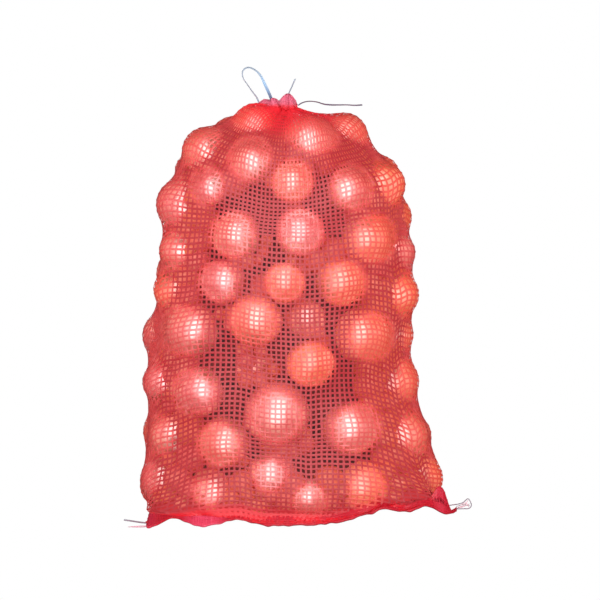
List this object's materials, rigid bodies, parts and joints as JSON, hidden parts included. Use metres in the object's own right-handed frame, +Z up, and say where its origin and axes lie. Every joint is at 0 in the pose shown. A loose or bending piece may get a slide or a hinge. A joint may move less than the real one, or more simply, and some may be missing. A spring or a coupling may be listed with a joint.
{
  "type": "net sack of onions",
  "caption": "Upright open-weave net sack packed with onions, its mouth gathered by a flat drawstring with a standing loop, and a sewn hem along its foot.",
  "frame": {"origin": "on the floor, under the middle of the sack's outline", "axes": "+Z up towards the gathered mouth, -Y out of the front face, +X to the right seen from the front"},
  "size_m": [0.3797, 0.2202, 0.5438],
  "materials": {
    "net": "satin woven plastic tape",
    "tape": "satin flat tape"
  },
  "bodies": {
    "root": {"net_sack": "net", "drawstring_loop": "tape", "drawstring_tail_short": "tape", "drawstring_tail_long": "tape"}
  },
  "joints": []
}
